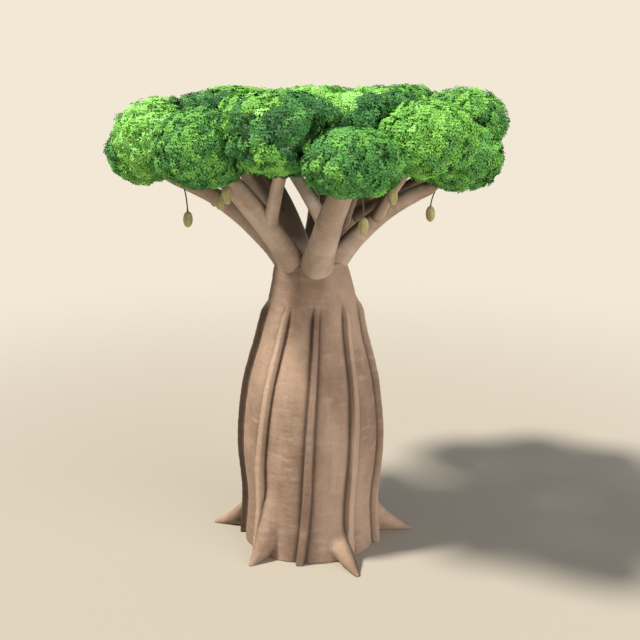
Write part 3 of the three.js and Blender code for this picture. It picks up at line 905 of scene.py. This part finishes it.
def addLimb(limb, index):
    kind, build = ("limb", bark.limb) if limb.parent else ("bough", bark.bough)
    name, (step, sides, size, depth) = f"{kind}_{limb.name}", build
    stemRadii = np.linspace(limb.tip, limb.tip * growth.stemTaper, len(limb.stem))
    line = np.concatenate([limb.line, limb.stem[1:]])
    radii = np.concatenate([limb.radii, stemRadii[1:]])
    length = np.linalg.norm(np.diff(line, axis=0), axis=1).sum()
    count = round(length / step)
    shares, at = np.linspace(0, 1, len(line)), np.linspace(0, 1, count)
    line = resampled(line, shares, at)
    rings, grains = tubeRings(line, np.interp(at, shares, radii), sides)

    gap = limbNamed[limb.parent].distance(rings) if limb.parent else trunkDistance(rings)
    swell = size * bark.collar * np.exp(-np.maximum(gap, 0) / (size * bark.collarReach))
    rings = rings + unit(rings - line[:, None]) * swell[..., None]
    # painted light on the side facing out, painted shade on the side facing the crown's middle
    lightAndShade = limbWeather(rings, unit(rings - line[:, None]))
    points = np.concatenate([rings.reshape(-1, 3), [line[0], line[-1]]])
    grain = np.concatenate([grains.reshape(-1, 3), [[0, 0, 0], [0, 0, length]]])
    made = meshObject(name + "_bark", points, ringFaces(count, sides))
    setAttribute(made, "grain", grain + index * bark.grainShift)
    setAttribute(made, "crest", np.concatenate([lightAndShade.ravel(), [0, 0]]))
    depths = {label: value * depth for label, value in reliefLook.bough.items()}
    grow(made, relief, **depths, Scale=reliefLook.boughScale, Bark=boughBark)
    shadeSmooth(made)
    place(made, "bark_bough", name)


addTrunk()
for index, limb in enumerate(limbNamed.values()):
    addLimb(limb, index)


# ---- twigs ----

twigs = Settings(
    # how many directions each level has, how far out it ends, and its radii
    levels=[
        (5, 0.46, 0.044, 0.030),
        (9, 0.94, 0.026, 0.008),
        (40, 0.72, 0.022, 0.012),
        (150, 0.88, 0.011, 0.005),
    ],
    margin=0.20,  # twigs end this far inside the space
    bow=0.10,  # how far a twig bows upwards, as a share of its length
    parts=4,
    sides=4,
    openFrom=0.5,  # levels that end farther out than this stay off pressed sides
    lastFrom=0.9,  # and than this carry nothing
)


def nearest(points, candidates):
    gaps = np.linalg.norm(points[:, None] - candidates[None], axis=-1)
    return candidates[np.argmin(gaps, axis=1)]


def isOpen(mass, directions):  # not pressed against a neighbour
    return mass.reach(directions) > growth.openShare * mass.ellipsoid(directions)


def massTwigs(mass):  # each level leaves the nearest tip of the levels before it
    tips = limbNamed[mass.name].stem[-1:]
    for count, share, base, end in twigs.levels:
        directions = evenDirections(count)
        ends = mass.points(directions, share, twigs.margin)
        clear = limbDistance(ends) > growth.limbGap
        if share > twigs.openFrom:
            clear &= isOpen(mass, directions)
        for a, b in zip(nearest(ends[clear], tips), ends[clear]):
            shares = np.linspace(0, 1, twigs.parts)
            bend = (a + b) / 2 + up * twigs.bow * np.linalg.norm(b - a)
            yield bezier(a, bend, b, shares), mix(base, end, shares)
        if share < twigs.lastFrom:
            tips = np.concatenate([tips, ends[clear]])


def roundTwigs():  # a round tube along every edge line, as thick as its thickness attribute
    maker = Maker("round_twigs", Sides=twigs.sides, Bark=boughBark)
    line = maker.node("GeometryNodeMeshToCurve", Mesh=maker.input("Geometry"))
    ring = maker.node("GeometryNodeCurvePrimitiveCircle", Resolution=maker.input("Sides"), Radius=1.0)
    swept = {"Curve": line, "Profile_Curve": ring, "Scale": maker.named("thickness"), "Fill_Caps": True}
    tube = maker.node("GeometryNodeCurveToMesh", **swept)
    return maker.finishClad(maker.realized(tube), "Bark")


def addTubes(name, tubes, sides, finish):  # all in one piece; each tube is its line and radii
    points, edges = [], []
    for line, _ in tubes:
        edges += [(len(points) + i, len(points) + i + 1) for i in range(len(line) - 1)]
        points += list(line)
    made = meshObject(name, points, edges=edges)
    setAttribute(made, "thickness", np.concatenate([radii for _, radii in tubes]))
    grow(made, roundTwigs(), Sides=sides, Bark=finish)
    setAttribute(made, "grain", pointsOf(made))
    shadeSmooth(made)
    place(made, "bark_bough")


addTubes("twigs", [tube for mass in crown.values() for tube in massTwigs(mass)], twigs.sides, boughBark)


# ---- leaves ----

leaves = Settings(
    leaflets=6,
    leafletLength=0.105,
    leafletWidth=0.040,
    leafletRoot=0.012,  # how far it starts from its leaf's middle
    # where it is widest and how far its tip hangs, in its length; how deep it folds, in its width
    belly=0.58,
    droop=0.14,
    foldDepth=0.22,
    outerShorter=0.12,  # a leaflet, for each radian that it stands aside
    lengths=(0.9, 1.1),
    fan=250.0,  # degrees that the leaflets of one leaf spread over
    leavesInSpray=7,
    turn=137.5,  # degrees from leaf to leaf, give or take the jitter
    turnJitter=12,
    tilts=(18, 80),  # degrees off the spray's axis, from the first leaf to the last
    faceUp=0.45,
    faceJitter=0.12,
    stalk=0.075,
    stalks=(0.8, 1.5),
    sprays=400,
    innerSprays=110,
    depths=[(0.86, 1.0), (0.5, 0.8)],  # of the outer and the inner sprays, as shares of the space
    limbGap=0.10,
    trunkGap=0.2,
    margin=0.24,  # a spray's middle stays this far inside the space
    lean=0.45,  # how far sprays lean from straight out, at random
    lift=0.35,  # and towards the light
    sizes=(0.8, 1.15),
    seed=20,
)
greens = {
    "lime": "9cdc72",
    "bright": "82c052",
    "fresh": "6fae4a",
    "mid": "5b9a4a",
    "deep": "478240",
    "dark": "386c38",
}
tones = {  # how often each green is dealt to a spray of a mass of that tone
    "sunny": {"lime": 0.7, "bright": 0.3},
    "bright": {"lime": 0.1, "bright": 0.45, "fresh": 0.45},
    "fresh": {"bright": 0.3, "fresh": 0.4, "mid": 0.3},
    "mid": {"fresh": 0.35, "mid": 0.45, "deep": 0.2},
    "cool": {"fresh": 0.1, "mid": 0.5, "deep": 0.4},
    "dark": {"mid": 0.1, "deep": 0.4, "dark": 0.5},
}
patches = [  # painted light and shade, where a mass's sprays take another tone: mass, towards, how wide in degrees, tone
    ("left", (0, 0, 1), 180, "sunny"),
    ("left", (0.45, -0.6, -0.75), 40, "fresh"),
    ("left", (0.62, -0.12, 0.78), 30, "dark"),
    ("far_left", (0, 0, 1), 180, "cool"),
    ("far_left", (0.6, -0.7, -0.4), 75, "bright"),
    ("front", (-0.36, -0.58, 0.73), 25, "bright"),
    ("front", (-0.97, -0.22, 0.1), 24, "bright"),
    ("front", (-0.34, -0.91, -0.24), 9, "bright"),
    ("front", (-0.05, -0.94, -0.33), 10, "bright"),
    ("front", (-0.1, -0.68, -0.72), 18, "bright"),
    ("front", (-0.6, -0.55, -0.58), 14, "bright"),
    ("front_right", (0.4, -0.9, -0.1), 35, "cool"),
    ("right_front", (0.5, -0.7, -0.5), 38, "fresh"),
    ("right", (0, 0, 1), 180, "mid"),
    ("right_top", (0, 0, 1), 180, "fresh"),
    ("right_top", (0.7, -0.6, -0.2), 40, "mid"),
    ("inner_right", (-0.6, -0.4, 0.7), 52, "sunny"),
    ("inner_far", (0, 0, 1), 180, "bright"),
    ("inner_far", (0.45, -0.8, 0.38), 26, "dark"),
]

leafFinishes = [
    Finish("leaf_" + name, Base_Color=linear(colour), Roughness=0.6, Specular_IOR_Level=0.3).material
    for name, colour in greens.items()
]


def leaflet(heading, facing, length, faces):  # a folded blade, widest past its middle
    side = np.cross(facing, heading) * leaves.leafletWidth / 2
    belly = heading * length * leaves.belly
    tip = heading * length - facing * length * leaves.droop
    rim = [heading * leaves.leafletRoot, belly + side, tip, belly - side]
    if faces == 2:
        return np.array(rim), [(0, 1, 2), (0, 2, 3)]
    spine = belly - facing * leaves.leafletWidth * leaves.foldDepth
    return np.array([*rim, spine]), [(0, 1, 4), (1, 2, 4), (2, 3, 4), (3, 0, 4)]


def sprayMesh(name, faces):  # several palmate leaves round one twig end, which points along +Z
    random = np.random.default_rng(leaves.seed)
    points, triangles = [], []
    upright, flat = leaves.tilts
    jitter = leaves.turnJitter
    for i in range(leaves.leavesInSpray):
        turn = i * leaves.turn + random.uniform(-jitter, jitter)
        tilt = math.radians(upright + (flat - upright) * i / (leaves.leavesInSpray - 1))
        stalk = polar(turn, math.sin(tilt), math.cos(tilt))
        facing = unit(mix(stalk, up, leaves.faceUp) + random.normal(0, leaves.faceJitter, 3))
        forward = unit(stalk - facing * (stalk @ facing))
        across = np.cross(facing, forward)
        centre = stalk * leaves.stalk * random.uniform(*leaves.stalks)
        for spread in np.linspace(-0.5, 0.5, leaves.leaflets) * math.radians(leaves.fan):
            heading = forward * math.cos(spread) + across * math.sin(spread)
            length = leaves.leafletLength * (1 - leaves.outerShorter * abs(spread))
            corners, sides = leaflet(heading, facing, length * random.uniform(*leaves.lengths), faces)
            triangles += [tuple(k + len(points) for k in side) for side in sides]
            points += list(corners + centre)
    return setAside(meshObject(name, points, triangles))


def leafMaker(fullSpray, innerSpray):
    # puts a spray on each point, then gives its leaves the green that was dealt to it
    maker = Maker("leaf_sprays", **{"Full Spray": fullSpray, "Inner Spray": innerSpray})
    both = maker.node("GeometryNodeJoinGeometry")
    for label in ("Inner Spray", "Full Spray"):  # the last to be joined comes first
        kind = maker.node("GeometryNodeGeometryToInstance", Geometry=maker.part(label))
        maker.plug(both.socket.node.inputs["Geometry"], kind)
    sprays = maker.node(
        "GeometryNodeInstanceOnPoints",
        Points=maker.input("Geometry"),
        Instance=both,
        Pick_Instance=True,
        Instance_Index=maker.named("kind", "INT"),
        Rotation=maker.node("FunctionNodeEulerToRotation", Euler=maker.named("turn", "FLOAT_VECTOR")),
        Scale=maker.named("size"),
    )
    real, green = maker.realized(sprays), maker.named("green", "INT")
    for i, material in enumerate(leafFinishes):
        dealt = maker.node("FunctionNodeCompare", data_type="INT", operation="EQUAL", A=green, B=i)
        real = maker.node("GeometryNodeSetMaterial", Geometry=real, Selection=dealt, Material=material)
    return maker.finish(real)


def sprayPoints(mass, random):
    outer = evenDirections(leaves.sprays)
    outer = outer[isOpen(mass, outer)]
    inner = evenDirections(leaves.innerSprays)
    directions = np.concatenate([outer, inner])
    kind = np.repeat([0, 1], [len(outer), len(inner)])
    outerDepth, innerDepth = [random.uniform(*depths, len(kind)) for depths in leaves.depths]
    points = mass.points(directions, np.where(kind == 0, outerDepth, innerDepth), leaves.margin)
    clear = (limbDistance(points) > leaves.limbGap) & (trunkDistance(points) > leaves.trunkGap)
    return points[clear], directions[clear], kind[clear]


def dealGreens(mass, directions, random):
    names = list(greens)
    tone = np.full(len(directions), mass.tone, dtype=object)
    for name, towards, width, patchTone in patches:
        if name == mass.name:
            inside = directions @ unit(np.array(towards)) > math.cos(math.radians(width))
            tone[inside] = patchTone
    return [names.index(random.choice(list(tones[t]), p=list(tones[t].values()))) for t in tone]


def turnsTowards(directions):  # as Euler angles that take +Z to each direction
    flat = np.hypot(directions[:, 0], directions[:, 1])
    tilt = np.arctan2(flat, directions[:, 2])
    bearing = np.arctan2(directions[:, 1], directions[:, 0])
    return np.column_stack([np.zeros(len(tilt)), tilt, bearing])


def addLeaves(mass, maker, random):
    points, directions, kind = sprayPoints(mass, random)
    green = dealGreens(mass, directions, random)
    leaning = directions + up * leaves.lift + random.normal(0, leaves.lean, directions.shape)
    made = meshObject("leaves_" + mass.name, points)
    setAttribute(made, "turn", turnsTowards(unit(leaning)))
    setAttribute(made, "size", random.uniform(*leaves.sizes, len(points)))
    setAttribute(made, "kind", kind)
    setAttribute(made, "green", green)
    grow(made, maker)
    place(made, "leaves_" + mass.tone, "foliage_" + mass.name)


maker = leafMaker(sprayMesh("full_spray", 4), sprayMesh("inner_spray", 2))
random = np.random.default_rng(leaves.seed)
for mass in crown.values():
    addLeaves(mass, maker, random)


# ---- pods ----

pods = Settings(
    # the mass that carries each pod, where it hangs, and its middle's height
    hung=[
        ("left", -2.50, -0.34, 7.265),
        ("front_left", -1.73, -1.40, 7.790),
        ("front_left", -1.56, -1.79, 7.960),
        ("front_right", 0.985, -2.04, 7.420),
        ("right_front", 1.56, -1.56, 7.900),
        ("right", 2.495, -0.04, 7.320),
        ("back_right", 2.05, 1.75, 7.560),
        ("back", 0.38, 2.45, 7.350),
        ("back", 1.05, 2.90, 7.620),
        ("back_left", -2.15, 1.50, 7.400),
    ],
    halfLength=0.165,
    radius=0.098,
    grooves=8,
    grooveDepth=0.045,
    rows=22,
    sides=32,
    bluntness=0.92,  # the lower, the blunter
    tip=1.03,  # times the half length
    turns=((-0.06, -0.06, 0), (0.06, 0.06, 6.28)),  # least and most about X, Y and Z
    seed=4,
    colours=("9e915f", "b4ad73", "7b7148", "6b653d"),  # of the skin, blotches, nap, and the painted shade in the grooves
    # stretch along the pod, scale, detail and roughness; from and to which value it shows, and how much
    blotches=((1, 1, 0.45), 16.0, 4, 0.6),
    blotchesShow=(0.35, 0.65, 1.0),
    nap=((1, 1, 1), 240.0, 3, 0.7),
    napShow=(0.5, 0.75, 0.5),
    blotchDepth=0.5,
    grooveShade=0.4,
    bump=(0.5, 0.004),
    rough=(0.95, 0.15),  # and how much less on a blotch
    stalkPoints=14,
    stalkSides=8,
    stalkRadius=0.014,
    collarRadius=0.024,
    collarLength=0.05,
    stalkSunk=0.85,  # of the pod's half length above its middle
    footingShare=0.6,
)


def podFinish():
    finish = Finish("pod_skin", Sheen_Weight=0.25, Sheen_Roughness=0.5)
    spot = finish.attribute("grain")
    blotches = finish.noise(spot, 1, *pods.blotches)
    nap = finish.noise(spot, 1, *pods.nap)
    skin, pale, dull, dark = [linear(colour) for colour in pods.colours]
    colour = finish.shade(skin, pale, blotches, *pods.blotchesShow)
    colour = finish.shade(colour, dull, nap, *pods.napShow)
    # painted shade in the grooves
    sunk = 1 - finish.attribute("crown", "Fac")
    colour = finish.blend(sunk * pods.grooveShade, colour, dark)
    normal = finish.bump(nap + blotches * pods.blotchDepth, *pods.bump)
    rough, less = pods.rough
    finish.set(Base_Color=colour, Normal=normal, Roughness=rough - blotches * less)
    return finish.material


def podMesh():  # a blunt pod hanging along Z, with shallow grooves from end to end
    turns = np.linspace(0, 2 * math.pi, pods.sides, endpoint=False)
    rings, crowns = [], []
    for t in np.linspace(0, 1, pods.rows + 2)[1:-1]:
        angle = math.pi * t
        swell = math.sin(angle) ** pods.bluntness
        groove = 0.5 + 0.5 * np.cos(pods.grooves * turns)
        depth = pods.grooveDepth * math.sin(angle)
        radius = pods.radius * swell * (1 - depth * (1 - groove) ** 2)
        height = np.full(pods.sides, -pods.halfLength * math.cos(angle))
        rings.append(np.column_stack([radius * np.cos(turns), radius * np.sin(turns), height]))
        crowns.append(1 - (1 - groove) ** 2 * math.sin(angle))
    ends = [[0, 0, -pods.halfLength * pods.tip], [0, 0, pods.halfLength]]
    points = np.concatenate([np.concatenate(rings), ends])
    made = meshObject("pod", points, ringFaces(pods.rows, pods.sides))
    setAttribute(made, "grain", points)
    setAttribute(made, "crown", np.concatenate([np.concatenate(crowns), [1, 1]]))
    shadeSmooth(made)
    return setAside(made)


def hangPods(pod):  # an instance of the pod on each point, turned its own way
    maker = Maker("hang_pods", Pod=pod, Skin=podFinish(), Seed=pods.seed)
    seed = maker.input("Seed")
    turn = maker.node("FunctionNodeRandomValue", *pods.turns, data_type="FLOAT_VECTOR", Seed=seed)
    sockets = {"Points": maker.input("Geometry"), "Instance": maker.part("Pod"), "Rotation": turn}
    hung = maker.node("GeometryNodeInstanceOnPoints", **sockets)
    return maker.finishClad(maker.realized(hung), "Skin")


def podStalk(name, x, y, height):
    mass = crown[name]
    knee = np.array([x, y, mass.heart[2] - mass.tall])
    footing = mix(mass.heart, knee, pods.footingShare)
    end = np.array([x, y, height + pods.stalkSunk * pods.halfLength])
    line = bezier(footing, knee, end, np.linspace(0, 1, pods.stalkPoints))
    toPod = np.linalg.norm(line - line[-1], axis=1)
    wide = np.clip(1 - toPod / pods.collarLength, 0, 1)
    return line, mix(pods.stalkRadius, pods.collarRadius, wide)


hanging = meshObject("pods", [middle for _, *middle in pods.hung])
grow(hanging, hangPods(podMesh()))
place(hanging, "bark_bough")
addTubes("pod_stalks", [podStalk(*row) for row in pods.hung], pods.stalkSides, stalkBark)
